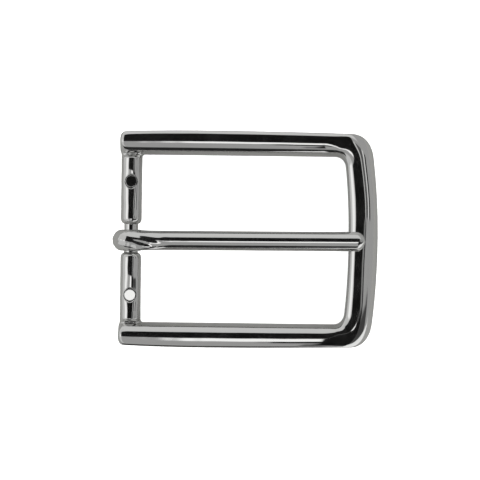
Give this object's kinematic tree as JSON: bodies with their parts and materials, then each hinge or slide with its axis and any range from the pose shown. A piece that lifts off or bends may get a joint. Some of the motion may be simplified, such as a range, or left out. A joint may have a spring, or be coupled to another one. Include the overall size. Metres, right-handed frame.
{
  "type": "belt buckle",
  "caption": "Pin buckle for a 35 mm dress belt: cast frame with a necked round bar, swinging prong and strap screws fixed from behind.",
  "frame": {"origin": "under the middle of the overall box, on the plane of the frame's flat back", "axes": "+X along the prong to the end bar, +Y across the strap, +Z out of the front"},
  "size_m": [0.0574, 0.0466, 0.0068],
  "materials": {
    "frame_chrome": "bright polished plating on a zinc casting",
    "prong_chrome": "bright polished plating on half-round wire",
    "screw_steel": "turned steel, plated bright"
  },
  "bodies": {
    "frame": {"frame": "frame_chrome", "strap_screw_upper": "screw_steel", "strap_screw_lower": "screw_steel"},
    "prong": {"prong": "prong_chrome"}
  },
  "joints": [
    {"name": "prong_hinge", "type": "hinge", "parent": "frame", "child": "prong", "pos_m": [-0.0247, -0.00043, 0.0028], "axis": [0, -1, 0], "range_deg": [0, 351]}
  ]
}
